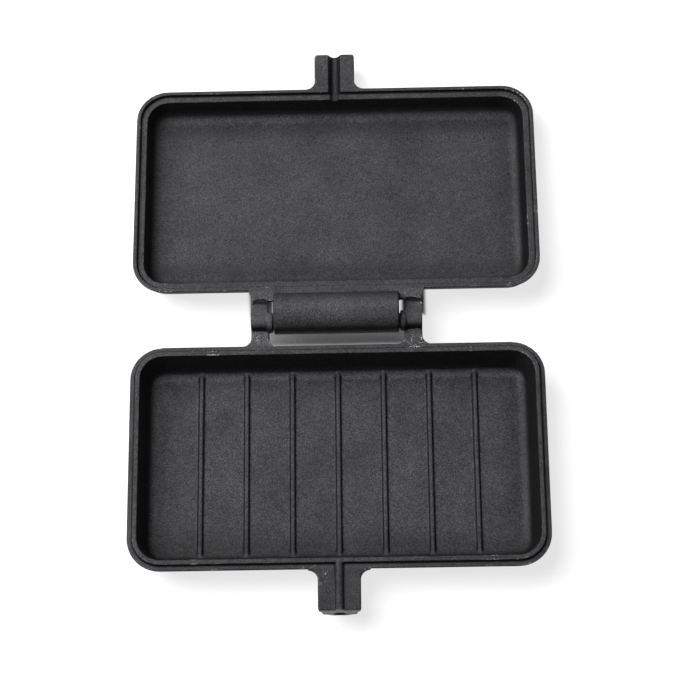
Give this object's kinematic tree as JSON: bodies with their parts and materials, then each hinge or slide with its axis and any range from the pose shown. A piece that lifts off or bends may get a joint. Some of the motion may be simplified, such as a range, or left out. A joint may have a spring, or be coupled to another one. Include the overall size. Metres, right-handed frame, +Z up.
{
  "type": "pie iron",
  "caption": "Open cast-iron pie iron: a ribbed base pan and a plain lid pan on a hook-and-bar hinge, each with a threaded socket for a screw-in rod.",
  "frame": {"origin": "middle of the base pan's flat underside", "axes": "+Z up; +Y from the ribbed base pan towards the hinge and the open lid pan; +X along the hinge"},
  "size_m": [0.23, 0.3326, 0.0357],
  "materials": {
    "cast_iron": "seasoned black with a fine sand-cast grain and a dull sheen"
  },
  "bodies": {
    "base": {"base_pan": "cast_iron"},
    "lid": {"lid_pan": "cast_iron"}
  },
  "joints": [
    {"name": "lid_hinge", "type": "hinge", "parent": "base", "child": "lid", "pos_m": [0, 0.07995, 0.0241], "axis": [1, 0, 0], "range_deg": [0, 182.74]}
  ]
}
